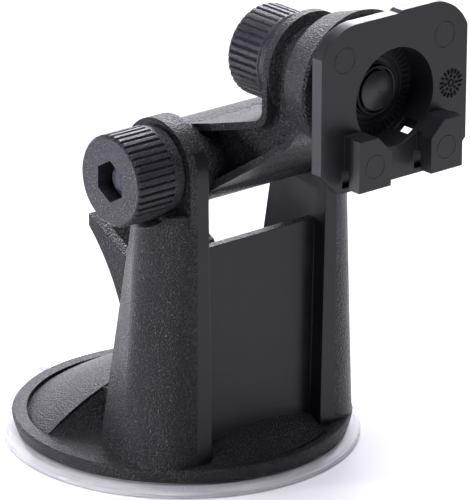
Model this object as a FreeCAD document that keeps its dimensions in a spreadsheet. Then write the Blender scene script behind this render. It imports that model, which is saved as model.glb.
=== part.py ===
import FreeCAD, Part
import math
import os
import re
import Sketcher
from FreeCAD import Placement, Rotation, Vector

# Suction-cup mount with a two-axis arm and a slotted device plate.
# Millimetres. Origin: centre of the suction cup's sealing face. +Z up, -Y towards the device,
# +X along the lower pivot.

SIZES = {
    # suction cup: clear disc with a vacuum hollow and a peel tab
    "cup_rad": 40.0,
    "cup_edge_thk": 0.9,
    "cup_band_thk": 2.35,
    "cup_band_rad": 36.0,
    "cup_seal_rad": 29.0,
    "cup_hollow_rad": 13.0,
    "cup_hollow_up": 2.7,
    "cup_mid_thk": 1.7,
    "tab_reach": 46.4,
    "tab_rad": 7.4,
    "tab_thk": 1.2,
    "tab_turn": -5.5,
    # insert and pull stud
    "insert_rad": 12.0,
    "insert_thk": 1.6,
    "stud_rad": 4.0,
    "stud_tip": 4.2,
    # housing: ring, dome and cam platform
    "ring_rad": 38.2,
    "ring_foot_rad": 37.5,
    "ring_low": 2.55,
    "ring_top": 5.6,
    "ring_inner_rad": 34.9,
    "ring_edge": 0.5,
    "moat_up": 4.4,
    "moat_rad": 36.0,
    "moat_half": 15.0,
    "dome_rad": 60.0,
    "dome_edge_rad": 34.4,
    "dome_edge_up": 5.0,
    "dome_thk": 2.6,
    "deck_up": 14.2,
    "stud_hole_rad": 4.3,
    "wing_in": 16.0,
    "wing_back": 6.0,
    "wing_up": 5.3,
    "wing_thk": 1.4,
    "wing_wall": 2.0,
    "wing_run": 7.4,
    "wing_run_end": 1.5,
    "wing_slope_end": 32.5,
    "wing_crest": 0.25,
    # columns and web
    "column_low": 4.6,
    "column_top": 64.0,
    "column_front": 29.4,
    "column_in_low": 15.5,
    "column_in_top": 16.6,
    "column_band": 19.6,
    "bulge_low": 31.2,
    "bulge_top": 28.05,
    "bulge_back": 18.1,
    "bulge_arc_low": 11.7,
    "bulge_arc_top": 10.6,
    "flank_low": 24.7,
    "flank_top": 22.5,
    "rear_low": 1.8,
    "rear_top": 11.55,
    "column_wall": 2.4,
    "column_turn_rad": 8.0,
    "hollow_top": 52.0,
    "web_front": 25.8,
    "web_thk": 2.0,
    "web_top": 53.9,
    # lower pivot
    "pivot_back": 18.1,
    "pivot_up": 71.6,
    "ear_rad": 11.3,
    "ear_thk": 5.0,
    "ear_root": 62.4,
    "ledge_rad": 11.5,
    "ledge_up": 63.4,
    # M5 hardware
    "bolt_rad": 2.5,
    "bolt_fit": 0.08,
    "bolt_length": 50.0,
    "hex_flat": 4.0,
    "hex_fit": 0.1,
    "head_thk": 3.5,
    "nut_thk": 4.0,
    "nut_inset": 3.2,
    "washer_rad": 5.0,
    "washer_thk": 1.0,
    "wide_washer_rad": 7.5,
    "spring_washer_rad": 4.6,
    "spring_washer_gap": 0.8,
    "press_fit": 0.02,
    # knobs
    "knob_rad": 10.1,
    "knob_length": 12.8,
    "knob_gap": 0.15,
    "collar_rad": 9.85,
    "collar_length": 2.4,
    "knob_edge": 0.6,
    "knob_recess_rad": 6.0,
    "rib_count": 38,
    "rib_depth": 0.55,
    "rib_half": 0.6,
    # arm
    "barrel_rad": 9.4,
    "barrel_half": 15.55,
    "arm_half": 14.0,
    "arm_head_half": 12.0,
    "arm_slope": 15.4,
    "arm_over": 8.25,
    "arm_under_slope": 33.5,
    "arm_under": 8.45,
    "elbow_rad": 11.5,
    "elbow_in_rad": 3.0,
    "rim_thk": 1.65,
    "sleeve_rad": 3.6,
    "friction_rad": 8.0,
    "friction_thk": 1.0,
    # head
    "head_up": 96.7,
    "flange_back": 41.3,
    "flange_rad": 12.0,
    "flange_thk": 2.1,
    "neck_rad": 9.5,
    "disc_back": 50.5,
    "disc_back_rad": 13.7,
    "disc_front": 59.3,
    "disc_front_rad": 16.1,
    # device plate
    "plate_front": 69.8,
    "plate_thk": 3.0,
    "plate_half": 20.1,
    "plate_low": 78.6,
    "plate_top": 114.7,
    "plate_bevel": 5.0,
    "plate_shoulder": 108.6,
    "plate_crown_half": 9.4,
    "plate_shoulder_rad": 11.0,
    "plate_step": 0.5,
    "plate_step_start": 0.7,
    "well_rad": 10.7,
    "well_wall": 1.6,
    "well_floor": 62.4,
    "well_back": 60.35,
    "well_boss_rad": 5.8,
    "well_boss": 0.8,
    "window_in": 4.9,
    "window_out": 7.8,
    "window_front": 68.5,
    "window_length": 4.2,
    "window_top": 6.6,
    "button_rad": 4.35,
    "button_edge": 1.1,
    "button_up": 1.9,
    "neck_half": 2.5,
    "upper_bolt_length": 33.2,
    # hooks on the plate
    "hook_out": 14.3,
    "hook_in": 5.6,
    "hook_low": 80.0,
    "hook_top": 91.2,
    "hook_cut": 3.6,
    "hook_thk": 3.3,
    "hook_stem": 2.1,
    "hook_stem_low": 83.7,
    "hook_stem_inset": 0.6,
    "slot_low": 79.7,
    "slot_top": 83.4,
    "slot_depth": 1.7,
    # lever
    "cam_rad": 5.4,
    "cam_throw": 2.4,
    "cam_angle": 40.0,
    "cam_gap": 0.25,
    "cam_plate_rad": 12.6,
    "cam_plate_thk": 0.8,
    "lever_half": 12.0,
    "lever_cheek": 2.6,
    "lever_wall": 1.6,
    "lever_curve_rad": 46.0,
    "lever_lean": 70.0,
    "lever_straight": 19.0,
    "lever_flare": 10.4,
    "lever_flare_lean": 46.0,
    "lever_lip": 2.8,
    "lever_depth": 8.0,
    "lever_clear_rad": 9.2,
    "pin_rad": 1.5,
    "pin_fit": 0.06,
    "pin_head_rad": 2.4,
    "pin_head_thk": 1.0,
    "clip_rad": 3.0,
    "clip_thk": 0.6,
}

doc = FreeCAD.newDocument("suction_mount")
sheet = doc.addObject("Spreadsheet::Sheet", "Sizes")
for row, (alias, value) in enumerate(SIZES.items(), start=1):
    sheet.set(f"A{row}", alias)
    sheet.set(f"B{row}", str(value))
    sheet.setAlias(f"B{row}", alias)
doc.recompute()

# derived lengths, as expressions in the sheet's own aliases
DOME_MID = "(dome_edge_up - sqrt(dome_rad^2 - dome_edge_rad^2))"
DECK_RAD = f"sqrt(dome_rad^2 - (deck_up - {DOME_MID})^2)"
UNDER_DECK = "(deck_up - dome_thk)"
UNDER_DECK_RAD = f"sqrt((dome_rad - dome_thk)^2 - ({UNDER_DECK} - {DOME_MID})^2)"
SKIRT_UP = "(ring_low + 1)"
SKIRT_RAD = f"sqrt((dome_rad - dome_thk)^2 - ({SKIRT_UP} - {DOME_MID})^2)"
INSERT_UP = "(cup_hollow_up + cup_mid_thk)"
CAM_DECK = "(deck_up + cam_plate_thk)"
PIN_UP = f"({CAM_DECK} + cam_gap + cam_rad + cam_throw * cos(cam_angle))"
EAR_OUT = "(column_in_top + ear_thk)"
LEVER_SKIN = "(cam_rad + cam_throw * cos(lever_lean + cam_angle))"


def size(text):
    """Value of an expression in the sheet's aliases."""
    result = sheet.evalExpression(text)
    return float(getattr(result, "Value", result))


def bind(thing, prop, text):
    """Ties a property to an expression in the sheet's aliases."""
    thing.setExpression(prop, re.sub(r"\b([a-z]+_[a-z_]+)\b", r"Sizes.\1", text))


def new_body(label):
    body = doc.addObject("PartDesign::Body", label)
    body.Label = label
    return body


def origin_plane(body, role):
    return next(item for item in body.Origin.OriginFeatures if item.Role == role)


def new_sketch(body, role, offset="0"):
    """Sketch on one of the body's origin planes, moved along the plane's normal."""
    sketch = body.newObject("Sketcher::SketchObject", "Sketch")
    sketch.AttachmentSupport = [(origin_plane(body, role), "")]
    sketch.MapMode = "FlatFace"
    bind(sketch, "AttachmentOffset.Base.z", offset)
    return sketch


def pin_point(sketch, geometry, end, x_text, y_text):
    """Holds one end of a line or arc at an expression-driven place."""
    for kind, text in (("DistanceX", x_text), ("DistanceY", y_text)):
        index = sketch.addConstraint(Sketcher.Constraint(kind, -1, 1, geometry, end, size(text)))
        bind(sketch, f"Constraints[{index}]", text)


def arc_between(start, end, radius, side):
    """Arc of the given radius; side +1 bulges to the right of start-to-end, -1 to the left."""
    chord = end - start
    half = chord.Length / 2
    normal = Vector(chord.y, -chord.x, 0).normalize()
    rise = math.sqrt(max(radius ** 2 - half ** 2, 0))
    centre = (start + end) * 0.5 - normal * rise * side
    first = math.atan2(start.y - centre.y, start.x - centre.x)
    last = math.atan2(end.y - centre.y, end.x - centre.x)
    circle = Part.Circle(centre, Vector(0, 0, 1), radius)
    if side > 0:
        return Part.ArcOfCircle(circle, first, last), (1, 2)
    return Part.ArcOfCircle(circle, last, first), (2, 1)


def outline(sketch, corners):
    """Closed outline through corners (x, y); a corner (x, y, radius, side) starts an arc to the next one."""
    points = [Vector(size(c[0]), size(c[1]), 0) for c in corners]
    edges = []
    for index, corner in enumerate(corners):
        start = points[index]
        end = points[(index + 1) % len(corners)]
        if len(corner) == 2:
            geometry = sketch.addGeometry(Part.LineSegment(start, end), False)
            ends = (1, 2)
        else:
            arc, ends = arc_between(start, end, size(corner[2]), corner[3])
            geometry = sketch.addGeometry(arc, False)
            radius = sketch.addConstraint(Sketcher.Constraint("Radius", geometry, size(corner[2])))
            bind(sketch, f"Constraints[{radius}]", corner[2])
        edges.append((geometry, ends))
    for index, (geometry, ends) in enumerate(edges):
        before, before_ends = edges[index - 1]
        sketch.addConstraint(Sketcher.Constraint("Coincident", before, before_ends[1], geometry, ends[0]))
        pin_point(sketch, geometry, ends[0], corners[index][0], corners[index][1])
    return sketch


def circle(sketch, x_text, y_text, radius):
    geometry = sketch.addGeometry(
        Part.Circle(Vector(size(x_text), size(y_text), 0), Vector(0, 0, 1), size(radius)), False
    )
    index = sketch.addConstraint(Sketcher.Constraint("Radius", geometry, size(radius)))
    bind(sketch, f"Constraints[{index}]", radius)
    pin_point(sketch, geometry, 3, x_text, y_text)
    return sketch


def box_outline(sketch, x_low, x_high, y_low, y_high):
    return outline(sketch, [(x_low, y_low), (x_high, y_low), (x_high, y_high), (x_low, y_high)])


def hexagon(sketch, x_text, y_text, flat, turn=0):
    """Hexagon by its half width across flats, turned by a number of degrees."""
    corners = []
    for step in range(6):
        angle = turn + 60 * step
        reach = f"({flat}) / cos(30)"
        corners.append((f"{x_text} + {reach} * cos({angle})", f"{y_text} + {reach} * sin({angle})"))
    return outline(sketch, corners)


def pad(body, sketch, length, reverse=False):
    feature = body.newObject("PartDesign::Pad", "Pad")
    feature.Profile = sketch
    feature.Reversed = reverse
    bind(feature, "Length", length)
    doc.recompute()
    return feature


def pocket(body, sketch, length, reverse=False):
    """Pocket of a given depth; it must take material away."""
    before = body.Shape.Volume
    feature = body.newObject("PartDesign::Pocket", "Pocket")
    feature.Profile = sketch
    feature.Reversed = reverse
    bind(feature, "Length", length)
    doc.recompute()
    if body.Shape.Volume >= before:
        raise RuntimeError(f"a pocket in {body.Label} cuts nothing")
    return feature


def revolve(body, sketch, axis="V_Axis"):
    feature = body.newObject("PartDesign::Revolution", "Revolution")
    feature.Profile = sketch
    feature.ReferenceAxis = (sketch, [axis])
    feature.Angle = 360
    doc.recompute()
    return feature


def loft(body, kind, first, last):
    feature = body.newObject(f"PartDesign::{kind}", kind)
    feature.Profile = first
    feature.Sections = [last]
    feature.Ruled = True
    doc.recompute()
    return feature


def mirrored(body, features):
    feature = body.newObject("PartDesign::Mirrored", "Mirrored")
    feature.Originals = features
    feature.MirrorPlane = (origin_plane(body, "YZ_Plane"), [""])
    body.Tip = feature
    doc.recompute()
    return feature


def around(body, features, axis, count):
    feature = body.newObject("PartDesign::PolarPattern", "PolarPattern")
    feature.Originals = features
    feature.Axis = (origin_plane(body, axis), [""])
    feature.Angle = 360
    bind(feature, "Occurrences", count)
    body.Tip = feature
    doc.recompute()
    return feature


def place(body, x_text, y_text, z_text, rotation=None):
    """Puts a sub-part at an expression-driven place."""
    if rotation is not None:
        body.Placement = Placement(Vector(), rotation)
    bind(body, "Placement.Base.x", x_text)
    bind(body, "Placement.Base.y", y_text)
    bind(body, "Placement.Base.z", z_text)
    return body


# rotations that lay a part made along +Z along another axis
ALONG_MINUS_X = Rotation(Vector(0, 1, 0), -90)
ALONG_PLUS_Y = Rotation(Vector(1, 0, 0), -90)


def suction_cup():
    body = new_body("suction_cup")
    sketch = new_sketch(body, "XZ_Plane")
    outline(sketch, [
        ("0", "cup_hollow_up"),
        ("cup_hollow_rad", "cup_hollow_up"),
        ("cup_seal_rad", "0"),
        ("cup_rad", "0"),
        ("cup_rad", "cup_edge_thk"),
        ("cup_band_rad", "cup_band_thk"),
        ("cup_hollow_rad + 7", "cup_band_thk + 0.4"),
        ("cup_hollow_rad", INSERT_UP),
        ("0", INSERT_UP),
    ])
    revolve(body, sketch)
    tab = new_sketch(body, "XY_Plane")
    outline(tab, [
        ("-tab_rad", "cup_rad - 3"),
        ("tab_rad", "cup_rad - 3"),
        ("tab_rad", "tab_reach", "tab_rad", 1),
        ("0", "tab_reach + tab_rad", "tab_rad", 1),
        ("-tab_rad", "tab_reach"),
    ])
    pad(body, tab, "tab_thk")
    body.Placement = Placement(Vector(), Rotation(Vector(0, 0, 1), size("tab_turn")))
    return body


def cup_insert():
    """Stiff plate moulded to the cup's centre, with a hole for the stud."""
    body = new_body("cup_insert")
    sketch = new_sketch(body, "XY_Plane")
    circle(sketch, "0", "0", "insert_rad")
    pad(body, sketch, "insert_thk")
    hole = new_sketch(body, "XY_Plane")
    circle(hole, "0", "0", "stud_rad + press_fit")
    pocket(body, hole, "insert_thk", True)
    return place(body, "0", "0", INSERT_UP)


def pull_stud():
    """Stud that the cams lift; the lever's pin crosses its top."""
    body = new_body("pull_stud")
    sketch = new_sketch(body, "XZ_Plane")
    outline(sketch, [
        ("0", INSERT_UP),
        ("stud_rad", INSERT_UP),
        ("stud_rad", f"{PIN_UP} + stud_tip - 1"),
        ("stud_rad - 1", f"{PIN_UP} + stud_tip"),
        ("0", f"{PIN_UP} + stud_tip"),
    ])
    revolve(body, sketch)
    eye = new_sketch(body, "YZ_Plane", "-stud_rad")
    circle(eye, "0", PIN_UP, "pin_rad + pin_fit")
    pocket(body, eye, "stud_rad * 2", True)
    return body


def softened(start, corner, end, radius, blend):
    """Rounds the corner between an arc from start and a line to end: gives the two ends of the rounding."""
    across, ahead = f"({corner[0]} - {start[0]})", f"({corner[1]} - {start[1]})"
    chord = f"sqrt({across}^2 + {ahead}^2)"
    rise = f"sqrt({radius}^2 - {chord}^2 / 4)"
    mid_x = f"(({start[0]} + {corner[0]}) / 2 - {ahead} / {chord} * {rise})"
    mid_y = f"(({start[1]} + {corner[1]}) / 2 + {across} / {chord} * {rise})"
    run_x, run_y = f"({end[0]} - {corner[0]})", f"({end[1]} - {corner[1]})"
    run = f"sqrt({run_x}^2 + {run_y}^2)"
    along = f"((({mid_x} - {corner[0]}) * {run_x} + ({mid_y} - {corner[1]}) * {run_y}) / {run})"
    aside = f"((({mid_y} - {corner[1]}) * {run_x} - ({mid_x} - {corner[0]}) * {run_y}) / {run})"
    step = f"({along} - sqrt(({radius} - {blend})^2 - ({aside} - {blend})^2))"
    leave = (f"({corner[0]} + {step} * {run_x} / {run})", f"({corner[1]} + {step} * {run_y} / {run})")
    share = f"{radius} / ({radius} - {blend})"
    meet = (
        f"({mid_x} + ({leave[0]} - {blend} * {run_y} / {run} - {mid_x}) * {share})",
        f"({mid_y} + ({leave[1]} + {blend} * {run_x} / {run} - {mid_y}) * {share})",
    )
    return meet, leave


def column_section(body, height, inner, bulge, bulge_arc, flank, rear, wall="0"):
    """Plan of one column: flat inner face, narrow front band, round outer bulge, tapering flank."""
    sketch = new_sketch(body, "XY_Plane", height)
    front = ("column_band", f"(-column_front + {wall})")
    corner = (f"({bulge} - {wall})", "(-bulge_back)")
    back = (f"({flank} - {wall})", f"(-{rear} - {wall})")
    arc = f"({bulge_arc} - {wall})"
    turn = f"(column_turn_rad - {wall})"
    meet, leave = softened(front, corner, back, arc, turn)
    outline(sketch, [
        (f"{inner} + {wall}", front[1]),
        (*front, arc, 1),
        (*meet, turn, 1),
        leave,
        back,
        (f"{inner} + {wall}", back[1]),
    ])
    return sketch


def under_dome(sketch, start, end, distance):
    """Wall outline from the wings' floor up to the dome, in the upright plane at a distance from the axis."""
    section_rad = f"sqrt(dome_rad^2 - ({distance})^2)"
    outline(sketch, [
        (start, "wing_up - wing_thk"),
        (end, "wing_up - wing_thk"),
        (end, f"{DOME_MID} + sqrt({section_rad}^2 - ({end})^2)", section_rad, 1),
        (start, f"{DOME_MID} + sqrt({section_rad}^2 - ({start})^2)"),
    ])
    return sketch


def wing_slope(body):
    """Slope from the cut dome's edge down to the wing's floor, running out towards the ring."""
    sections = []
    for distance, run in (("wing_in", "wing_run"), ("wing_slope_end", "wing_run_end")):
        crest = f"{DOME_MID} + sqrt(dome_rad^2 - wing_back^2 - ({distance})^2)"
        section = new_sketch(body, "YZ_Plane", distance)
        outline(section, [
            (f"wing_back - {run}", "wing_up - wing_thk"),
            ("wing_back + 1", "wing_up - wing_thk"),
            ("wing_back + 1", f"{crest} - wing_crest"),
            ("wing_back", f"{crest} - wing_crest"),
            (f"wing_back - {run}", "wing_up - 0.2"),
        ])
        sections.append(section)
    return loft(body, "AdditiveLoft", *sections)


def cut_wings(body):
    """Beside each column the dome is cut down to a low floor, with walls that close the dome's hollow."""
    edge_back = "sqrt(dome_edge_rad^2 - wing_back^2)"
    edge_front = "-sqrt(dome_edge_rad^2 - wing_in^2)"
    plan = [
        ("wing_in", edge_front, "dome_edge_rad", 1),
        (edge_back, "wing_back"),
        ("wing_in", "wing_back"),
    ]
    cut = pocket(body, outline(new_sketch(body, "XY_Plane", "wing_up"), plan), "deck_up", True)
    floor = pad(body, outline(new_sketch(body, "XY_Plane", "wing_up - wing_thk"), plan), "wing_thk")
    back_wall = new_sketch(body, "XZ_Plane", "-wing_back - wing_wall")
    under_dome(back_wall, "wing_in", f"({edge_back} - 1)", "wing_back + wing_wall")
    side_wall = new_sketch(body, "YZ_Plane", "wing_in")
    under_dome(side_wall, "-rear_low - 2", "wing_back + 1", "wing_in + wing_wall")
    walls = [pad(body, back_wall, "wing_wall"), pad(body, side_wall, "wing_wall")]
    return [cut, floor, *walls, wing_slope(body)]


def cut_front_moat(body):
    """In front of the web a shallow channel runs between the dome's foot and the ring."""
    front = new_sketch(body, "XY_Plane", "moat_up")
    outer = "-sqrt(moat_rad^2 - moat_half^2)"
    inner = "-sqrt(dome_edge_rad^2 - moat_half^2)"
    outline(front, [
        ("-moat_half", outer, "moat_rad", 1),
        ("moat_half", outer),
        ("moat_half", inner, "dome_edge_rad", -1),
        ("-moat_half", inner),
    ])
    return pocket(body, front, "ring_top", True)


def base_housing():
    """Ring, dome, two columns with pivot ears and the web between them, in one moulding."""
    body = new_body("base_housing")
    shell = new_sketch(body, "XZ_Plane")
    outline(shell, [
        ("ring_foot_rad", "ring_low"),
        ("ring_rad", "ring_top - ring_edge"),
        ("ring_rad - ring_edge", "ring_top"),
        ("ring_inner_rad", "ring_top"),
        ("ring_inner_rad", "moat_up"),
        ("dome_edge_rad", "moat_up"),
        ("dome_edge_rad", "dome_edge_up", "dome_rad", 1),
        (DECK_RAD, "deck_up"),
        ("stud_hole_rad", "deck_up"),
        ("stud_hole_rad", UNDER_DECK),
        (UNDER_DECK_RAD, UNDER_DECK, "dome_rad - dome_thk", -1),
        (SKIRT_RAD, SKIRT_UP),
        (SKIRT_RAD, "ring_low"),
    ])
    revolve(body, shell)
    cut_front_moat(body)
    wings = cut_wings(body)
    first = column_section(
        body, "column_low", "column_in_low", "bulge_low", "bulge_arc_low", "flank_low", "rear_low"
    )
    last = column_section(
        body, "column_top", "column_in_top", "bulge_top", "bulge_arc_top", "flank_top", "rear_top"
    )
    column = loft(body, "AdditiveLoft", first, last)
    ear_sketch = new_sketch(body, "YZ_Plane", "column_in_top")
    ear_rear = "sqrt(ear_rad^2 - (pivot_up - ear_root)^2) - pivot_back"
    outline(ear_sketch, [
        ("-column_front", "ear_root - 2"),
        (ear_rear, "ear_root - 2"),
        (ear_rear, "ear_root", "ear_rad", 1),
        ("-pivot_back", "pivot_up + ear_rad", "ear_rad", 1),
        ("-pivot_back - ear_rad", "pivot_up"),
    ])
    ear = pad(body, ear_sketch, "ear_thk")
    ledge_sketch = new_sketch(body, "YZ_Plane", EAR_OUT)
    circle(ledge_sketch, "-pivot_back", "pivot_up", "ledge_rad")
    ledge = pocket(body, ledge_sketch, "bulge_low - column_in_top", True)
    above_sketch = new_sketch(body, "YZ_Plane", EAR_OUT)
    box_outline(above_sketch, "-column_front - 1", "0", "ledge_up", "pivot_up + ear_rad")
    above = pocket(body, above_sketch, "bulge_low - column_in_top", True)
    inside_low = column_section(
        body, "ring_low", "column_in_low", "bulge_low", "bulge_arc_low", "flank_low", "rear_low",
        "column_wall",
    )
    inside_top = column_section(
        body, "hollow_top", "column_in_top", "bulge_top", "bulge_arc_top", "flank_top", "rear_top",
        "column_wall",
    )
    inside = loft(body, "SubtractiveLoft", inside_low, inside_top)
    mirrored(body, wings + [column, ear, ledge, above, inside])
    web = new_sketch(body, "XZ_Plane", "web_front - web_thk")
    box_outline(web, "-column_in_low - 0.8", "column_in_low + 0.8", "ring_top + 0.6", "web_top")
    pad(body, web, "web_thk")
    bore = new_sketch(body, "YZ_Plane", f"-{EAR_OUT}")
    circle(bore, "-pivot_back", "pivot_up", "bolt_rad + bolt_fit")
    pocket(body, bore, f"{EAR_OUT} * 2", True)
    socket = new_sketch(body, "YZ_Plane", f"{EAR_OUT} - head_thk")
    hexagon(socket, "-pivot_back", "pivot_up", "hex_flat + hex_fit", 30)
    pocket(body, socket, "head_thk", True)
    return body


def cam_plate():
    """Steel wear plate that the lever's cams bear on."""
    body = new_body("cam_plate")
    sketch = new_sketch(body, "XY_Plane")
    circle(sketch, "0", "0", "cam_plate_rad")
    pad(body, sketch, "cam_plate_thk")
    hole = new_sketch(body, "XY_Plane")
    circle(hole, "0", "0", "stud_hole_rad")
    pocket(body, hole, "cam_plate_thk", True)
    return place(body, "0", "0", "deck_up")


def lever_corners():
    """Foot, knee and tip of the lever's back, seen from the side with the pin at the origin."""
    foot = (f"{LEVER_SKIN} * sin(lever_lean)", f"-{LEVER_SKIN} * cos(lever_lean)")
    knee = (f"{foot[0]} + lever_straight * cos(lever_lean)", f"{foot[1]} + lever_straight * sin(lever_lean)")
    tip = (
        f"{knee[0]} + lever_flare * cos(lever_flare_lean)",
        f"{knee[1]} + lever_flare * sin(lever_flare_lean)",
    )
    return foot, knee, tip


def forward(point, distance):
    """A point moved square to the lever's shank, away from its back."""
    return f"{point[0]} - {distance} * sin(lever_lean)", f"{point[1]} + {distance} * cos(lever_lean)"


def lock_lever():
    """Channel-shaped lever: two cheeks with eccentric cams, closed at the back by a wall."""
    body = new_body("lock_lever")
    foot, knee, tip = lever_corners()
    shank = new_sketch(body, "YZ_Plane", "-lever_half")
    outline(shank, [
        (*foot, "lever_curve_rad", -1),
        tip,
        (tip[0], f"{tip[1]} + lever_lip"),
        forward(knee, "lever_depth"),
        forward(foot, "lever_depth"),
    ])
    pad(body, shank, "lever_half * 2")
    channel = new_sketch(body, "YZ_Plane", "-lever_half + lever_cheek")
    low = (f"{foot[0]} - lever_depth * cos(lever_lean)", f"{foot[1]} - lever_depth * sin(lever_lean)")
    outline(channel, [
        forward(low, "lever_wall"),
        (*forward(foot, "lever_wall"), "lever_curve_rad", -1),
        (f"{tip[0]} - lever_wall", f"{tip[1]} + lever_lip + 1"),
        (f"{knee[0]} - lever_depth * 2", f"{tip[1]} + lever_lip + 1"),
        forward(low, "lever_depth * 2"),
    ])
    pocket(body, channel, "(lever_half - lever_cheek) * 2", True)
    clear = new_sketch(body, "YZ_Plane", "-lever_half + lever_cheek")
    circle(clear, "0", "0", "lever_clear_rad")
    pocket(body, clear, "(lever_half - lever_cheek) * 2", True)
    for side in ("-lever_half", "lever_half - lever_cheek"):
        cam = new_sketch(body, "YZ_Plane", side)
        circle(cam, "-cam_throw * sin(cam_angle)", "-cam_throw * cos(cam_angle)", "cam_rad")
        pad(body, cam, "lever_cheek")
    eye = new_sketch(body, "YZ_Plane", "-lever_half")
    circle(eye, "0", "0", "pin_rad + pin_fit")
    pocket(body, eye, "lever_half * 2", True)
    return place(body, "0", "0", PIN_UP)


def lever_pin():
    """Pin through the cams and the stud, with a head at one end."""
    body = new_body("lever_pin")
    sketch = new_sketch(body, "XZ_Plane")
    outline(sketch, [
        ("0", "0"),
        ("pin_head_rad", "0"),
        ("pin_head_rad", "pin_head_thk"),
        ("pin_rad", "pin_head_thk"),
        ("pin_rad", "pin_head_thk + lever_half * 2 + clip_thk + 0.9"),
        ("0", "pin_head_thk + lever_half * 2 + clip_thk + 0.9"),
    ])
    revolve(body, sketch)
    return place(body, "lever_half + pin_head_thk + 0.1", "0", PIN_UP, ALONG_MINUS_X)


def ring(label, outer, inner, thickness, gap=None):
    """Washer made along +Z; a gap splits it, as on a spring washer or a clip."""
    body = new_body(label)
    sketch = new_sketch(body, "XY_Plane")
    circle(sketch, "0", "0", outer)
    circle(sketch, "0", "0", inner)
    pad(body, sketch, thickness)
    if gap is not None:
        split = new_sketch(body, "XY_Plane")
        box_outline(split, f"-{gap} / 2", f"{gap} / 2", "0", f"{outer} + 1")
        pocket(body, split, thickness, True)
    return body


def hex_bolt():
    """Bolt held in the right ear's hexagonal socket; it carries the arm and the lower knob."""
    body = new_body("lower_bolt")
    head = new_sketch(body, "XY_Plane", "-head_thk")
    hexagon(head, "0", "0", "hex_flat")
    pad(body, head, "head_thk")
    shank = new_sketch(body, "XY_Plane")
    circle(shank, "0", "0", "bolt_rad")
    pad(body, shank, "bolt_length")
    return place(body, f"{EAR_OUT} - head_thk", "-pivot_back", "pivot_up", ALONG_MINUS_X)


def nut(label):
    body = new_body(label)
    sketch = new_sketch(body, "XY_Plane")
    hexagon(sketch, "0", "0", "hex_flat")
    circle(sketch, "0", "0", "bolt_rad + bolt_fit")
    pad(body, sketch, "nut_thk")
    return body


def knob(label):
    """Ribbed knob made along +Z: washer recess below, hexagonal nut pocket above."""
    body = new_body(label)
    recess = "(washer_thk - knob_gap + press_fit)"
    sketch = new_sketch(body, "XZ_Plane")
    outline(sketch, [
        ("knob_recess_rad", "0"),
        ("collar_rad - knob_edge / 2", "0"),
        ("collar_rad", "knob_edge / 2"),
        ("collar_rad", "collar_length"),
        ("knob_rad", "collar_length + knob_edge / 2"),
        ("knob_rad", "knob_length - knob_edge"),
        ("knob_rad - knob_edge", "knob_length"),
        ("bolt_rad + bolt_fit", "knob_length"),
        ("bolt_rad + bolt_fit", recess),
        ("knob_recess_rad", recess),
    ])
    revolve(body, sketch)
    socket = new_sketch(body, "XY_Plane", "knob_length - nut_inset - nut_thk")
    hexagon(socket, "0", "0", "hex_flat + hex_fit")
    pocket(body, socket, "nut_inset + nut_thk", True)
    groove = new_sketch(body, "XY_Plane", "collar_length + knob_edge")
    outline(groove, [
        ("knob_rad - rib_depth", "0"),
        ("knob_rad + 0.2", "-rib_half"),
        ("knob_rad + 0.2", "rib_half"),
    ])
    rib = pocket(body, groove, "knob_length", True)
    around(body, [rib], "Z_Axis", "rib_count")
    return body


def over(y_text, inset="0"):
    """Height of the arm's upper edge above the pivot at a distance y."""
    return f"(arm_over - {inset}) / cos(arm_slope) - ({y_text}) * tan(arm_slope)"


def under(y_text, inset="0"):
    """Height of the arm's lower edge above the pivot at a distance y."""
    return f"-(arm_under - {inset}) / cos(arm_under_slope) - ({y_text}) * tan(arm_under_slope)"


def arm_side(sketch, start, inset, top):
    """Side view of the arm about the pivot: a bar rising forward, an elbow, and an upright to the head."""
    back = f"(pivot_back - flange_back - {inset})"
    front = f"(pivot_back - disc_back - 3 + {inset})"
    inner_turn = f"((elbow_in_rad + {inset}) * tan((90 - arm_slope) / 2))"
    outer_turn = f"((elbow_rad - {inset}) * tan((90 - arm_under_slope) / 2))"
    inner_y = f"({back} + {inner_turn} * cos(arm_slope))"
    outer_y = f"({front} + {outer_turn} * cos(arm_under_slope))"
    outline(sketch, [
        (start, under(start, inset)),
        (start, over(start, inset)),
        (inner_y, over(inner_y, inset), f"elbow_in_rad + {inset}", -1),
        (back, f"{over(back, inset)} + {inner_turn}"),
        (back, top),
        (front, top),
        (front, f"{under(front, inset)} + {outer_turn}", f"elbow_rad - {inset}", 1),
        (outer_y, under(outer_y, inset)),
    ])
    return sketch


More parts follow.
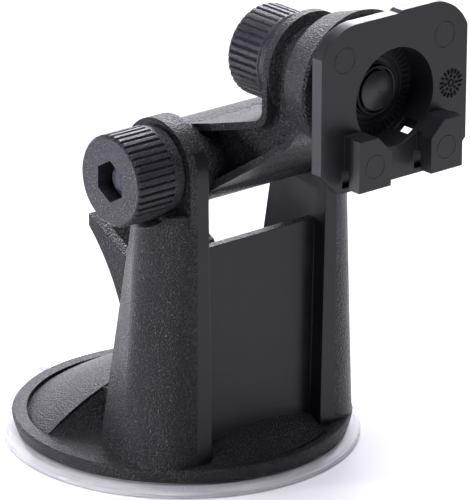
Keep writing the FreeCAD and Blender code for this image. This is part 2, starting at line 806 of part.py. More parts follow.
def arm():
    """Arm moulding: barrel on the lower pivot, recessed bar and upright, round head."""
    body = new_body("arm")
    bar = arm_side(new_sketch(body, "YZ_Plane", "-arm_half"), "0", "0", "head_up - pivot_up")
    pad(body, bar, "arm_half * 2")
    recess = arm_side(
        new_sketch(body, "YZ_Plane", "neck_rad"), "0", "rim_thk", "head_up - pivot_up + 1"
    )
    right = pocket(body, recess, "arm_half - neck_rad", True)
    taper = new_sketch(body, "XY_Plane", "-barrel_rad")
    outline(taper, [
        ("arm_half + 1", "-barrel_rad"),
        ("arm_half", "-barrel_rad"),
        ("arm_head_half", "pivot_back - flange_back"),
        ("arm_head_half", "pivot_back - disc_front"),
        ("arm_half + 1", "pivot_back - disc_front"),
    ])
    slim = pocket(body, taper, "head_up", True)
    mirrored(body, [right, slim])
    barrel = new_sketch(body, "YZ_Plane", "-barrel_half")
    circle(barrel, "0", "0", "barrel_rad")
    pad(body, barrel, "barrel_half * 2")
    head = new_sketch(body, "XY_Plane", "head_up - pivot_up")
    outline(head, [
        ("0", "pivot_back - flange_back"),
        ("flange_rad", "pivot_back - flange_back"),
        ("flange_rad", "pivot_back - flange_back - flange_thk"),
        ("neck_rad", "pivot_back - flange_back - flange_thk - 0.6"),
        ("neck_rad", "pivot_back - disc_back + 0.8"),
        ("disc_back_rad", "pivot_back - disc_back"),
        ("disc_front_rad", "pivot_back - disc_front + 0.6"),
        ("disc_front_rad - 0.6", "pivot_back - disc_front"),
        ("0", "pivot_back - disc_front"),
    ])
    revolve(body, head)
    pivot = new_sketch(body, "YZ_Plane", "-barrel_half")
    circle(pivot, "0", "0", "sleeve_rad + press_fit")
    pocket(body, pivot, "barrel_half * 2", True)
    swivel = new_sketch(body, "XZ_Plane", "flange_back - pivot_back - 1")
    circle(swivel, "0", "head_up - pivot_up", "bolt_rad + bolt_fit")
    pocket(body, swivel, "disc_front - flange_back + 2", True)
    return place(body, "0", "-pivot_back", "pivot_up")


def pivot_sleeve():
    body = ring("pivot_sleeve", "sleeve_rad", "bolt_rad + bolt_fit", "barrel_half * 2")
    return place(body, "barrel_half", "-pivot_back", "pivot_up", ALONG_MINUS_X)


def friction_washer(side, start):
    label = f"friction_washer_{side}"
    body = ring(label, "friction_rad", "bolt_rad + bolt_fit", "friction_thk")
    return place(body, start, "-pivot_back", "pivot_up", ALONG_MINUS_X)


def hook_top_corners(low, inset="0"):
    """One hook's face: its inner top corner is cut back to follow the plate's round opening."""
    return [
        (f"hook_in + {inset}", low),
        (f"hook_out - {inset}", low),
        (f"hook_out - {inset}", "hook_top"),
        ("hook_in + hook_cut", "hook_top"),
        (f"hook_in + {inset}", f"hook_top - hook_cut + {inset}"),
    ]


def head_plate():
    """Device plate with its round well behind and two hooks in front."""
    body = new_body("head_plate")
    face = new_sketch(body, "XZ_Plane", "plate_front - plate_thk")
    outline(face, [
        ("-plate_half + plate_bevel", "plate_low"),
        ("plate_half - plate_bevel", "plate_low"),
        ("plate_half", "plate_low + plate_bevel"),
        ("plate_half", "plate_shoulder", "plate_shoulder_rad", 1),
        ("plate_crown_half", "plate_top + plate_step"),
        ("plate_step_start + plate_step * 2", "plate_top + plate_step"),
        ("plate_step_start", "plate_top"),
        ("-plate_crown_half", "plate_top", "plate_shoulder_rad", 1),
        ("-plate_half", "plate_shoulder"),
        ("-plate_half", "plate_low + plate_bevel"),
    ])
    pad(body, face, "plate_thk")
    well = new_sketch(body, "XZ_Plane", "well_back")
    circle(well, "0", "head_up", "well_rad + well_wall")
    pad(body, well, "plate_front - plate_thk - well_back")
    opening = new_sketch(body, "XZ_Plane", "well_floor")
    circle(opening, "0", "head_up", "well_rad")
    pocket(body, opening, "plate_front - well_floor", True)
    window_sketch = new_sketch(body, "XZ_Plane", "window_front - window_length")
    below = "head_up - well_rad - well_wall - 1"
    box_outline(window_sketch, "window_in", "window_out", below, "head_up - window_top")
    window = pocket(body, window_sketch, "window_length", True)
    boss = new_sketch(body, "XZ_Plane", "well_floor")
    circle(boss, "0", "head_up", "well_boss_rad")
    pad(body, boss, "well_boss")
    square = new_sketch(body, "XZ_Plane", "well_back")
    half = "(neck_half + press_fit)"
    box_outline(square, f"-{half}", half, f"head_up - {half}", f"head_up + {half}")
    pocket(body, square, "well_floor - well_back + well_boss", True)
    tab = new_sketch(body, "XZ_Plane", "plate_front + hook_stem")
    outline(tab, hook_top_corners("hook_low"))
    hook = pad(body, tab, "hook_thk")
    stem_sketch = new_sketch(body, "XZ_Plane", "plate_front")
    outline(stem_sketch, hook_top_corners("hook_stem_low", "hook_stem_inset"))
    stem = pad(body, stem_sketch, "hook_stem")
    slot_sketch = new_sketch(body, "XZ_Plane", "plate_front - slot_depth")
    box_outline(slot_sketch, "hook_in", "hook_out", "slot_low", "slot_top")
    slot = pocket(body, slot_sketch, "slot_depth", True)
    mirrored(body, [window, hook, stem, slot])
    return body


def carriage_bolt():
    """Round-headed bolt made along +Z; its square neck keeps it from turning in the plate."""
    body = new_body("carriage_bolt")
    sketch = new_sketch(body, "XZ_Plane")
    crown = "(button_rad^2 + (button_up - button_edge)^2) / (2 * (button_up - button_edge))"
    outline(sketch, [
        ("0", "-button_up", crown, 1),
        ("button_rad", "-button_edge"),
        ("button_rad", "0"),
        ("bolt_rad", "0"),
        ("bolt_rad", "upper_bolt_length"),
        ("0", "upper_bolt_length"),
    ])
    revolve(body, sketch)
    neck = new_sketch(body, "XY_Plane")
    box_outline(neck, "-neck_half", "neck_half", "-neck_half", "neck_half")
    pad(body, neck, "well_floor - well_back + well_boss")
    return place(body, "0", "-well_floor - well_boss", "head_up", ALONG_PLUS_Y)


def along_bolt(body, distance):
    """Lays a part on the upper bolt, starting a distance behind the arm's flange."""
    return place(body, "0", f"-flange_back + {distance}", "head_up", ALONG_PLUS_Y)


def on_ear(body, distance):
    """Lays a part on the lower bolt, starting a distance outside the left ear."""
    return place(body, f"-{EAR_OUT} - ({distance})", "-pivot_back", "pivot_up", ALONG_MINUS_X)


def build_all():
    hole = "bolt_rad + bolt_fit"
    nut_start = "knob_length - nut_inset - nut_thk"
    return [
        suction_cup(),
        cup_insert(),
        pull_stud(),
        base_housing(),
        cam_plate(),
        lock_lever(),
        lever_pin(),
        place(
            ring("lever_pin_clip", "clip_rad", "pin_rad + press_fit", "clip_thk", "spring_washer_gap"),
            "-lever_half - 0.1", "0", PIN_UP, ALONG_MINUS_X,
        ),
        hex_bolt(),
        on_ear(ring("lower_washer", "washer_rad", hole, "washer_thk"), "0"),
        on_ear(knob("lower_knob"), "knob_gap"),
        on_ear(nut("lower_nut"), f"knob_gap + {nut_start}"),
        arm(),
        pivot_sleeve(),
        friction_washer("right", "barrel_half + press_fit + friction_thk"),
        friction_washer("left", "-barrel_half - press_fit"),
        head_plate(),
        carriage_bolt(),
        place(
            ring("head_friction_disc", "flange_rad", hole, "friction_thk"),
            "0", "-disc_front - press_fit - friction_thk", "head_up", ALONG_PLUS_Y,
        ),
        along_bolt(ring("flange_washer", "wide_washer_rad", hole, "washer_thk"), "press_fit"),
        along_bolt(
            ring("spring_washer", "spring_washer_rad", hole, "washer_thk", "spring_washer_gap"),
            "washer_thk + press_fit",
        ),
        along_bolt(knob("upper_knob"), "washer_thk + knob_gap + press_fit"),
        along_bolt(nut("upper_nut"), f"washer_thk + knob_gap + press_fit + {nut_start}"),
    ]


def check(bodies):
    """Stops the build if any object failed or any sub-part is empty or invalid."""
    for thing in doc.Objects:
        if "Invalid" in thing.State or "Error" in thing.State:
            raise RuntimeError(f"{thing.Label} failed to compute: {thing.State}")
    for body in bodies:
        if body.Shape.isNull() or not body.Shape.isValid():
            raise RuntimeError(f"{body.Label} has no valid shape")
        if len(body.Shape.Solids) != 1:
            raise RuntimeError(f"{body.Label} is {len(body.Shape.Solids)} solids")


bodies = build_all()
doc.recompute()
check(bodies)
os.makedirs("parts", exist_ok=True)
for body in bodies:
    body.Shape.exportStep(os.path.join("parts", f"{body.Label}.step"))
    box = body.Shape.BoundBox
    print(f"{body.Label}: {box.XLength:.1f} x {box.YLength:.1f} x {box.ZLength:.1f} mm")
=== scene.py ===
import math

import bmesh
import bpy
from mathutils import Matrix, Vector


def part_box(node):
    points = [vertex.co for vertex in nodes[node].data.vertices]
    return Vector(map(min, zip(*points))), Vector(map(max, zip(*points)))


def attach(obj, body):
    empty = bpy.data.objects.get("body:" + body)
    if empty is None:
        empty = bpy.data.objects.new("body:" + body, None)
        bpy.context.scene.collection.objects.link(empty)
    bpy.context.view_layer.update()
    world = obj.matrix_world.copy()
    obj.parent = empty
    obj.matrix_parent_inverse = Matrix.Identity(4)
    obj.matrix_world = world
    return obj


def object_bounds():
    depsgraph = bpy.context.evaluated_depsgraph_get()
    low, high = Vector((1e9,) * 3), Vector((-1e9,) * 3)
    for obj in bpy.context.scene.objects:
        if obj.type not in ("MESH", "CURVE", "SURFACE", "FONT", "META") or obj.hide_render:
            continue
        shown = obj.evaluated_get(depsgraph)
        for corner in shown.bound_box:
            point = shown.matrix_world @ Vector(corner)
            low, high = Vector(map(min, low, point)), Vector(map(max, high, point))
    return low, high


MM = 0.001

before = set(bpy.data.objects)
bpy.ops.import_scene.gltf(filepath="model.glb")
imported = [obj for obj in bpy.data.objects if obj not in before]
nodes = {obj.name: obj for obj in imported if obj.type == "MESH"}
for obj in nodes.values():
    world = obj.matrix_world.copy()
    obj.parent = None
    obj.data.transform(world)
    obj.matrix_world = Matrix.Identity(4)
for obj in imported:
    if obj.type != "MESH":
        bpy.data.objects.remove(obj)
cad_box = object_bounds()

# ------------------------------------------------------------------ sizes, in millimetres
HOOK_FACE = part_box("head_plate")[0].y / MM
PLATE_FACE = HOOK_FACE + 5.4
HEAD_UP = 96.7
WELL_FLOOR = -62.4
WELL_RAD = 10.7
BOSS_FACE = WELL_FLOOR - 0.8
COLLAR_RAD = 5.1
SUNK = 0.12

PIN_MARKS = {
    "plate": {"across": 13.8, "up": 107.4, "radius": 2.75, "face": PLATE_FACE},
    "hook": {"across": 9.9, "up": 84.9, "radius": 2.5, "face": HOOK_FACE},
}
DIAL_ACROSS = 15.7
DIAL_UP = 96.4
DIAL_RINGS = ((8, 1.2, 1.85), (17, 2.15, 3.15))
WELL_RING_RADII = (7.0, 8.1)
WELL_TEETH = 48
TEETH_START = 8.7

# where the base is polished, and the gap under it
COLUMN_INNER = 19.7
BASE_TOP = 6.0
FLOOR_GAP = 0.2

# the camera, in millimetres and degrees
CAMERA_TARGET = (8.860, -7.738, 42.816)
CAMERA_DISTANCE = 1067.2
CAMERA_AZIMUTH = 39.945
CAMERA_ELEVATION = 20.507
CAMERA_ROLL = 0.178
CAMERA_LENS = 346.8


# ------------------------------------------------------------------ material building blocks
class Paint:
    """One procedural material under construction, with short names for the nodes it uses."""

    def __init__(self, name):
        self.material = bpy.data.materials.new(name)
        self.material.use_nodes = True
        self.tree = self.material.node_tree
        self.shader = self.tree.nodes["Principled BSDF"]
        where = self.add("ShaderNodeTexCoord")
        self.place = where.outputs["Object"]
        self.facing = where.outputs["Normal"]

    def add(self, kind, **settings):
        node = self.tree.nodes.new(kind)
        for key, value in settings.items():
            setattr(node, key, value)
        return node

    def feed(self, socket, value):
        """Links a socket to another, or sets a plain number or colour on it."""
        if isinstance(value, bpy.types.NodeSocket):
            self.tree.links.new(value, socket)
        else:
            socket.default_value = value

    def look(self, **values):
        """Sets the shader's own sockets; underscores in the names stand for spaces."""
        for key, value in values.items():
            self.feed(self.shader.inputs[key.replace("_", " ")], value)

    def stretched(self, along):
        """The object's own coordinates, scaled per axis."""
        node = self.add("ShaderNodeMapping")
        self.feed(node.inputs["Vector"], self.place)
        node.inputs["Scale"].default_value = along
        return node.outputs["Vector"]

    def noise(self, size_mm, detail=2.0, rough=0.5, where=None):
        """Noise whose lumps are about size_mm wide, from 0 to 1."""
        node = self.add("ShaderNodeTexNoise")
        self.feed(node.inputs["Vector"], where or self.place)
        node.inputs["Scale"].default_value = 1.0 / (size_mm * MM)
        node.inputs["Detail"].default_value = detail
        node.inputs["Roughness"].default_value = rough
        return node.outputs["Fac"]

    def cells(self, size_mm):
        """Distance to the nearest of many points about size_mm apart."""
        node = self.add("ShaderNodeTexVoronoi")
        self.feed(node.inputs["Vector"], self.place)
        node.inputs["Scale"].default_value = 1.0 / (size_mm * MM)
        return node.outputs["Distance"]

    def sum(self, first, second, operation="ADD"):
        node = self.add("ShaderNodeMath", operation=operation)
        self.feed(node.inputs[0], first)
        self.feed(node.inputs[1], second)
        return node.outputs["Value"]

    def span(self, value, low, high, to_low=0.0, to_high=1.0):
        """value from low..high, clamped, mapped to to_low..to_high."""
        node = self.add("ShaderNodeMapRange")
        self.feed(node.inputs["Value"], value)
        self.feed(node.inputs["From Min"], low)
        self.feed(node.inputs["From Max"], high)
        self.feed(node.inputs["To Min"], to_low)
        self.feed(node.inputs["To Max"], to_high)
        return node.outputs["Result"]

    def blend(self, share, first, second):
        """A colour between two colours."""
        node = self.add("ShaderNodeMix", data_type="RGBA")
        self.feed(node.inputs["Factor"], share)
        self.feed(node.inputs["A"], first)
        self.feed(node.inputs["B"], second)
        return node.outputs["Result"]

    def parts(self, vector):
        node = self.add("ShaderNodeSeparateXYZ")
        self.feed(node.inputs["Vector"], vector)
        return node.outputs["X"], node.outputs["Y"], node.outputs["Z"]

    def rounded(self, radius_mm):
        """The normal that a small radius along every edge would give."""
        node = self.add("ShaderNodeBevel", samples=4)
        node.inputs["Radius"].default_value = radius_mm * MM
        return node.outputs["Normal"]

    def edge(self, soft_normal):
        """1 along edges and 0 on open faces; the materials paint these edges lighter, partly as wear and
        partly as a painted highlight.
        """
        true_normal = self.add("ShaderNodeNewGeometry").outputs["Normal"]
        node = self.add("ShaderNodeVectorMath", operation="DOT_PRODUCT")
        self.feed(node.inputs[0], soft_normal)
        self.feed(node.inputs[1], true_normal)
        return self.span(node.outputs["Value"], 0.995, 0.86)

    def bump(self, height, depth_mm, strength=1.0, over=None):
        node = self.add("ShaderNodeBump")
        self.feed(node.inputs["Height"], height)
        self.feed(node.inputs["Strength"], strength)
        node.inputs["Distance"].default_value = depth_mm * MM
        if over is not None:
            self.feed(node.inputs["Normal"], over)
        return node.outputs["Normal"]


def grey(level, tint=(1.0, 1.0, 1.0)):
    return (level * tint[0], level * tint[1], level * tint[2], 1.0)


# ------------------------------------------------------------------ materials
# tints of the black parts and of the light
COOL = (0.93, 0.92, 1.2)
DAYLIGHT = (0.985, 0.975, 1.06)


def grained_plastic(name, smooth=None, grain_mm=0.45, depth_mm=0.42, level=0.0055, edge_mm=0.3):
    """Black moulded plastic with a spark-eroded grain; smooth, if given, builds the mask of satin areas."""
    paint = Paint(name)
    soft = paint.rounded(edge_mm)
    edge_wear_and_highlight = paint.edge(soft)
    pits = paint.cells(grain_mm)
    lumps = paint.noise(grain_mm * 0.9, 3.0, 0.6)
    grain = paint.sum(paint.sum(pits, 0.6, "MULTIPLY"), lumps)
    patches = paint.noise(9.0, 3.0)
    satin = smooth(paint) if smooth else 0.0
    coarse = paint.span(satin, 0.0, 1.0, 1.0, 0.05)
    # The grain's peaks are painted paler in the base colour as painted glints, and are also a little less
    # rough.
    peaks_with_painted_glints = paint.sum(paint.span(grain, 0.78, 1.0), coarse, "MULTIPLY")
    patchy = paint.span(patches, 0.3, 0.7, 0.28, 0.36)
    # Random paler patches, and edges painted lighter: partly wear, partly a painted highlight.
    pale = paint.sum(paint.span(patches, 0.3, 0.7, 0.0, 0.2), paint.span(edge_wear_and_highlight, 0.0, 1.0, 0.0, 0.5))
    paint.look(
        Base_Color=paint.blend(
            paint.sum(pale, paint.sum(peaks_with_painted_glints, 0.8, "MULTIPLY")), grey(level, COOL), grey(level * 6.0, COOL)
        ),
        Roughness=paint.sum(patchy, paint.sum(peaks_with_painted_glints, -0.1, "MULTIPLY")),
        Normal=paint.bump(grain, depth_mm, coarse, soft),
    )
    paint.look(Specular_IOR_Level=0.27, IOR=1.5)
    return paint.material


def base_satin(paint):
    """The web, the columns' inner faces and their front bands are polished; the rest keeps its grain."""
    x, y, z = paint.parts(paint.place)
    up = paint.parts(paint.facing)[2]
    inner = paint.sum(paint.sum(x, 0.0, "ABSOLUTE"), COLUMN_INNER * MM, "LESS_THAN")
    upright = paint.sum(paint.sum(up, 0.0, "ABSOLUTE"), 0.5, "LESS_THAN")
    above = paint.sum(z, BASE_TOP * MM, "GREATER_THAN")
    ahead = paint.sum(y, 0.0, "LESS_THAN")
    return paint.sum(
        paint.sum(inner, upright, "MULTIPLY"), paint.sum(above, ahead, "MULTIPLY"), "MULTIPLY"
    )


def satin_plastic(name, level=0.010, gloss=0.34):
    """Black plastic from a finely polished tool, with faint flow streaks."""
    paint = Paint(name)
    soft = paint.rounded(0.3)
    edge_wear_and_highlight = paint.edge(soft)
    fine = paint.noise(0.22, 2.0)
    flow = paint.noise(5.0, 4.0, 0.6, paint.stretched((1.0, 1.0, 0.25)))
    # Faint flow streaks, and edges painted lighter: partly wear, partly a painted highlight.
    paint.look(
        Base_Color=paint.blend(
            paint.sum(paint.span(flow, 0.35, 0.7, 0.0, 0.4), paint.span(edge_wear_and_highlight, 0.0, 1.0, 0.0, 0.6)),
            grey(level, COOL),
            grey(level * 2.2, COOL),
        ),
        Roughness=paint.sum(paint.span(flow, 0.3, 0.7, 0.34, 0.46), paint.span(fine, 0.3, 0.7, -0.04, 0.04)),
        Normal=paint.bump(fine, 0.012, 0.6, soft),
    )
    paint.look(Specular_IOR_Level=gloss, IOR=1.5)
    return paint.material


def rubber(name):
    """Matt black rubber, slightly dusty."""
    paint = Paint(name)
    fine = paint.noise(0.3, 4.0, 0.7)
    dust = paint.noise(4.0, 4.0, 0.7)
    paint.look(
        Base_Color=paint.blend(paint.span(dust, 0.4, 0.75), grey(0.014), grey(0.03)),
        Roughness=paint.span(dust, 0.3, 0.7, 0.72, 0.86),
        Normal=paint.bump(fine, 0.03, 0.7, paint.rounded(0.2)),
    )
    paint.look(Specular_IOR_Level=0.3)
    return paint.material


def clear_vinyl(name):
    """Soft clear vinyl, a little milky, with fine scuffs; streaks around it ripple the surface and are
    painted greyer as painted shade lines in place of refraction through the clear cup.
    """
    paint = Paint(name)
    streaks = paint.noise(3.0, 4.0, 0.6, paint.stretched((0.2, 0.2, 7.0)))
    scuffs = paint.noise(0.5, 5.0, 0.7)
    # Greyer streaks in the colour: painted shade lines standing in for refraction; the same streaks also
    # ripple the surface.
    paint.look(
        Base_Color=paint.blend(
            paint.span(streaks, 0.42, 0.62), (1.0, 0.99, 0.97, 1.0), (0.74, 0.74, 0.80, 1.0)
        ),
        Roughness=paint.sum(paint.span(streaks, 0.3, 0.7, 0.05, 0.2), paint.span(scuffs, 0.5, 0.8, 0.0, 0.2)),
        Normal=paint.bump(streaks, 0.12, 0.5, paint.rounded(0.4)),
    )
    paint.look(Transmission_Weight=0.5, IOR=1.5, Specular_IOR_Level=0.5)
    return paint.material


def zinc_steel(name):
    """Bright zinc-plated steel with fine turning lines and a slightly clouded passivation."""
    paint = Paint(name)
    soft = paint.rounded(0.12)
    lines = paint.noise(0.1, 3.0, 0.6, paint.stretched((1.0, 1.0, 6.0)))
    cloud = paint.noise(1.8, 4.0, 0.6)
    paint.look(
        Base_Color=paint.blend(paint.span(cloud, 0.35, 0.7), grey(0.62), (0.50, 0.53, 0.58, 1.0)),
        Roughness=paint.sum(paint.span(cloud, 0.3, 0.7, 0.24, 0.4), paint.span(lines, 0.3, 0.7, -0.05, 0.05)),
        Normal=paint.bump(lines, 0.006, 0.8, soft),
    )
    paint.look(Metallic=1.0)
    return paint.material


def painted_shade_steel(name):
    """Steel of the bolts and nuts, its colour darkened as painted shade for the deep pockets they sit in, and
    dulled by oil.
    """
    paint = Paint(name)
    soft = paint.rounded(0.12)
    cloud = paint.noise(1.4, 4.0, 0.6)
    fine = paint.noise(0.15, 3.0, 0.6)
    # Dark base colour: painted shade for the deep pockets that hold the bolts and nuts.
    paint.look(
        Base_Color=paint.blend(paint.span(cloud, 0.35, 0.7), grey(0.05, COOL), grey(0.10, COOL)),
        Roughness=paint.sum(paint.span(cloud, 0.3, 0.7, 0.32, 0.48), paint.span(fine, 0.3, 0.7, -0.05, 0.05)),
        Normal=paint.bump(fine, 0.008, 0.8, soft),
    )
    paint.look(Metallic=1.0)
    return paint.material


def black_steel(name):
    """Blackened steel of the carriage bolt: dark, with paler edges that are partly rubbed wear and partly a
    painted highlight.
    """
    paint = Paint(name)
    soft = paint.rounded(0.3)
    edge_wear_and_highlight = paint.edge(soft)
    fine = paint.noise(0.2, 4.0, 0.6)
    # Edges painted paler: partly rubbed wear, partly a painted highlight.
    paint.look(
        Base_Color=paint.blend(paint.span(edge_wear_and_highlight, 0.2, 1.0), grey(0.022, COOL), grey(0.07, COOL)),
        Roughness=paint.span(fine, 0.3, 0.7, 0.30, 0.44),
        Normal=paint.bump(fine, 0.01, 0.6, soft),
    )
    paint.look(Specular_IOR_Level=0.5)
    return paint.material


def insert_plastic(name):
    """Milky stiff plastic of the plate moulded into the cup."""
    paint = Paint(name)
    cloud = paint.noise(3.0, 4.0, 0.6)
    paint.look(
        Base_Color=paint.blend(paint.span(cloud, 0.3, 0.7), (0.72, 0.74, 0.76, 1.0), (0.60, 0.62, 0.65, 1.0)),
        Roughness=paint.span(cloud, 0.3, 0.7, 0.38, 0.5),
        Normal=paint.bump(cloud, 0.02, 0.5, paint.rounded(0.2)),
    )
    return paint.material


def pale_floor(name):
    paint = Paint(name)
    cloud = paint.noise(60.0, 3.0)
    paint.look(
        Base_Color=paint.blend(cloud, grey(0.93), grey(0.95)),
        Roughness=paint.span(cloud, 0.3, 0.7, 0.75, 0.85),
    )
    paint.look(Specular_IOR_Level=0.1)
    return paint.material


GRAIN = grained_plastic("black_grain")
BASE = grained_plastic("black_grain_base", smooth=base_satin)
KNOB = grained_plastic("black_grain_knob", grain_mm=0.38, depth_mm=0.14, level=0.008, edge_mm=0.18)
SATIN = satin_plastic("black_satin")
# A darker and matter copy of the satin plastic, used on the dial's marks.
DIAL_DARK_MATT = satin_plastic("black_satin_matt", level=0.002, gloss=0.12)
RUBBER = rubber("black_rubber")
VINYL = clear_vinyl("clear_vinyl")
INSERT = insert_plastic("milky_insert")
STEEL = zinc_steel("zinc_steel")
PAINTED_SHADE_STEEL = painted_shade_steel("painted_shade_steel")
BLACK_STEEL = black_steel("black_steel")

FINISHES = {
    "suction_cup": VINYL,
    "cup_insert": INSERT,
    "pull_stud": STEEL,
    "base_housing": BASE,
    "cam_plate": STEEL,
    "lock_lever": GRAIN,
    "lever_pin": STEEL,
    "lever_pin_clip": STEEL,
    "lower_bolt": PAINTED_SHADE_STEEL,
    "lower_washer": STEEL,
    "lower_knob": KNOB,
    "lower_nut": PAINTED_SHADE_STEEL,
    "arm": GRAIN,
    "pivot_sleeve": STEEL,
    "friction_washer_right": RUBBER,
    "friction_washer_left": RUBBER,
    "head_plate": SATIN,
    "carriage_bolt": BLACK_STEEL,
    "head_friction_disc": RUBBER,
    "flange_washer": STEEL,
    "spring_washer": STEEL,
    "upper_knob": KNOB,
    "upper_nut": PAINTED_SHADE_STEEL,
}

for node_name, finish in FINISHES.items():
    nodes[node_name].data.materials.clear()
    nodes[node_name].data.materials.append(finish)


# ------------------------------------------------------------------ mesh building blocks
def piece(name, mesh, material, body):
    """Turns a finished bmesh into a named piece that rides on a CAD body."""
    data = bpy.data.meshes.new(name)
    bmesh.ops.recalc_face_normals(mesh, faces=mesh.faces)
    mesh.to_mesh(data)
    mesh.free()
    data.materials.append(material)
    made = bpy.data.objects.new(name, data)
    bpy.context.scene.collection.objects.link(made)
    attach(made, body)
    return made


def facing_front(x, y, z):
    """Local Z points out of the plate's face, local Y up; given in millimetres."""
    return Matrix((
        (1, 0, 0, x * MM),
        (0, 0, -1, y * MM),
        (0, 1, 0, z * MM),
        (0, 0, 0, 1),
    ))


def lathe(mesh, profile, matrix, steps=64):
    """A closed ring: profile is (radius, height) corners in millimetres, turned about local Z."""
    rings = []
    for step in range(steps):
        turn = 2 * math.pi * step / steps
        rings.append([
            mesh.verts.new(matrix @ Vector((r * MM * math.cos(turn), r * MM * math.sin(turn), h * MM)))
            for r, h in profile
        ])
    for step in range(steps):
        here = rings[step]
        there = rings[(step + 1) % steps]
        for corner in range(len(profile)):
            after = (corner + 1) % len(profile)
            face = mesh.faces.new((here[corner], there[corner], there[after], here[after]))
            face.smooth = True


def low_ridge(radius, width, height):
    """Profile of a low round-topped ring that is let into the face below it."""
    half = width / 2
    return [
        (radius - half, -SUNK),
        (radius - half, height * 0.55),
        (radius - half * 0.5, height),
        (radius + half * 0.5, height),
        (radius + half, height * 0.55),
        (radius + half, -SUNK),
    ]


def bar(mesh, matrix, turn, start, end, width, height):
    """A low roof-shaped ridge along a radius, from start to end."""
    spin = matrix @ Matrix.Rotation(turn, 4, "Z")
    half = width / 2
    sections = []
    low = height * 0.6
    for radius, top in ((start, low), (start + half, height), (end - half, height), (end, low)):
        corners = [
            (-half, -SUNK),
            (-half, top * 0.5),
            (-half * 0.4, top),
            (half * 0.4, top),
            (half, top * 0.5),
            (half, -SUNK),
        ]
        sections.append([mesh.verts.new(spin @ Vector((radius * MM, a * MM, h * MM))) for a, h in corners])
    count = len(sections[0])
    for near, far in zip(sections, sections[1:]):
        for corner in range(count):
            after = (corner + 1) % count
            mesh.faces.new((near[corner], far[corner], far[after], near[after]))
    mesh.faces.new(sections[0])
    mesh.faces.new(list(reversed(sections[-1])))


# ------------------------------------------------------------------ pieces on the head plate
def ejector_marks():
    """Round witness marks that the mould's ejector pins leave on the plate and on the hooks."""
    for side, word in ((-1, "left"), (1, "right")):
        for part, mark in PIN_MARKS.items():
            mesh = bmesh.new()
            matrix = facing_front(side * mark["across"], mark["face"], mark["up"])
            lathe(mesh, low_ridge(mark["radius"], 0.32, 0.06), matrix)
            piece(f"pin_mark_{part}_{word}", mesh, SATIN, "head")


def mould_dial():
    """Plain rings of tick marks where the mould carries its adjustable insert."""
    mesh = bmesh.new()
    matrix = facing_front(DIAL_ACROSS, PLATE_FACE, DIAL_UP)
    lathe(mesh, low_ridge(0.7, 0.34, 0.2), matrix)
    for ticks, start, end in DIAL_RINGS:
        for tick in range(ticks):
            bar(mesh, matrix, 2 * math.pi * tick / ticks, start, end, 0.5, 0.28)
    piece("mould_dial", mesh, DIAL_DARK_MATT, "head")


def well_rings():
    """Turned rings on the well's floor, a collar around the bolt's head and a serrated band near the wall."""
    mesh = bmesh.new()
    matrix = facing_front(0, WELL_FLOOR, HEAD_UP)
    for radius in WELL_RING_RADII:
        lathe(mesh, low_ridge(radius, 0.36, 0.18), matrix)
    lathe(mesh, low_ridge(COLLAR_RAD, 0.8, 0.9), facing_front(0, BOSS_FACE, HEAD_UP))
    for tooth in range(WELL_TEETH):
        turn = 2 * math.pi * tooth / WELL_TEETH
        bar(mesh, matrix, turn, TEETH_START, WELL_RAD - 0.15, 0.5, 0.3)
    piece("well_rings", mesh, SATIN, "head")


ejector_marks()
mould_dial()
well_rings()


# ------------------------------------------------------------------ floor, light and camera
def floor():
    """A wide round sheet of pale card that the mount stands on."""
    mesh = bmesh.new()
    bmesh.ops.create_circle(mesh, cap_ends=True, segments=96, radius=6.0)
    data = bpy.data.meshes.new("floor")
    mesh.to_mesh(data)
    mesh.free()
    data.materials.append(pale_floor("pale_floor"))
    made = bpy.data.objects.new("floor", data)
    made.location.z = cad_box[0].z - FLOOR_GAP * MM
    bpy.context.scene.collection.objects.link(made)


def softbox(name, spot, size, power, aim=(0.0, 0.0, 0.05)):
    """A square soft light of the given side and power, turned to the object."""
    data = bpy.data.lights.new(name, "AREA")
    data.shape = "SQUARE"
    data.size = size
    data.energy = power
    data.color = DAYLIGHT
    made = bpy.data.objects.new(name, data)
    made.location = spot
    made.rotation_mode = "QUATERNION"
    made.rotation_quaternion = (Vector(aim) - Vector(spot)).to_track_quat("-Z", "Y")
    bpy.context.scene.collection.objects.link(made)


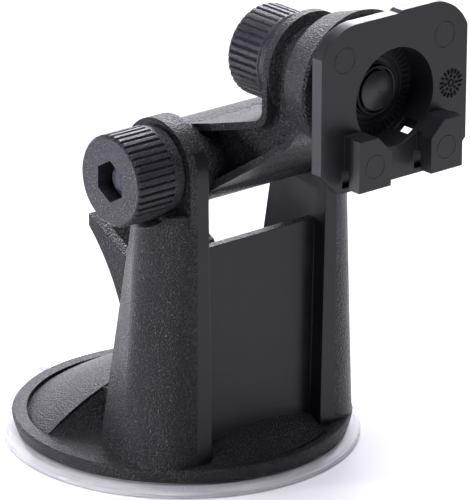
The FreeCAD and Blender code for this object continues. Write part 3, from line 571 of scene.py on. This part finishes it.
def facing_share(tree, place, direction, low, high, dim, bright):
    """Brightness of the sky that rises from dim to bright as it turns towards a direction."""
    share = tree.nodes.new("ShaderNodeVectorMath")
    share.operation = "DOT_PRODUCT"
    share.inputs[1].default_value = direction
    tree.links.new(place, share.inputs[0])
    level = tree.nodes.new("ShaderNodeMapRange")
    level.interpolation_type = "SMOOTHSTEP"
    for key, value in (("From Min", low), ("From Max", high), ("To Min", dim), ("To Max", bright)):
        level.inputs[key].default_value = value
    tree.links.new(share.outputs["Value"], level.inputs["Value"])
    return level.outputs["Result"]


def studio():
    """White studio: a sky that brightens behind, a bright patch that level tops mirror, and soft lights."""
    world = bpy.data.worlds.new("studio")
    bpy.context.scene.world = world
    world.use_nodes = True
    tree = world.node_tree
    place = tree.nodes.new("ShaderNodeTexCoord").outputs["Generated"]
    behind = facing_share(tree, place, (0.12, 0.99, 0.0), 0.3, 0.95, 0.01, 0.3)
    high = facing_share(tree, place, (0.60, 0.72, 0.35), 0.75, 1.0, 0.0, 2.6)
    total = tree.nodes.new("ShaderNodeMath")
    total.operation = "ADD"
    tree.links.new(behind, total.inputs[0])
    tree.links.new(high, total.inputs[1])
    sky = tree.nodes["Background"]
    sky.inputs["Color"].default_value = (*DAYLIGHT, 1.0)
    tree.links.new(total.outputs["Value"], sky.inputs["Strength"])
    softbox("top_light", (-0.1, -0.2, 1.1), 0.9, 16.5)
    softbox("back_light", (0.9, 1.0, 0.6), 0.4, 7.0)
    softbox("left_light", (-0.85, 0.42, 0.12), 0.12, 8.0, (-0.1, 0.0, 0.01))


def camera():
    """The mount seen from the near left and a little above, through a long lens."""
    data = bpy.data.cameras.new("camera")
    data.sensor_width = 36.0
    data.lens = CAMERA_LENS
    data.clip_start = 0.05
    data.clip_end = 30.0
    made = bpy.data.objects.new("camera", data)
    azimuth = math.radians(CAMERA_AZIMUTH)
    elevation = math.radians(CAMERA_ELEVATION)
    roll = math.radians(CAMERA_ROLL)
    distance = CAMERA_DISTANCE * MM
    target = Vector(CAMERA_TARGET) * MM
    back = Vector((
        -math.sin(azimuth) * math.cos(elevation),
        -math.cos(azimuth) * math.cos(elevation),
        math.sin(elevation),
    ))
    made.location = target + back * distance
    made.rotation_mode = "QUATERNION"
    aim = (-back).to_track_quat("-Z", "Y")
    made.rotation_quaternion = aim @ Matrix.Rotation(roll, 4, "Z").to_quaternion()
    bpy.context.scene.collection.objects.link(made)
    bpy.context.scene.camera = made


floor()
studio()
camera()
bpy.context.scene.view_settings.view_transform = "Standard"
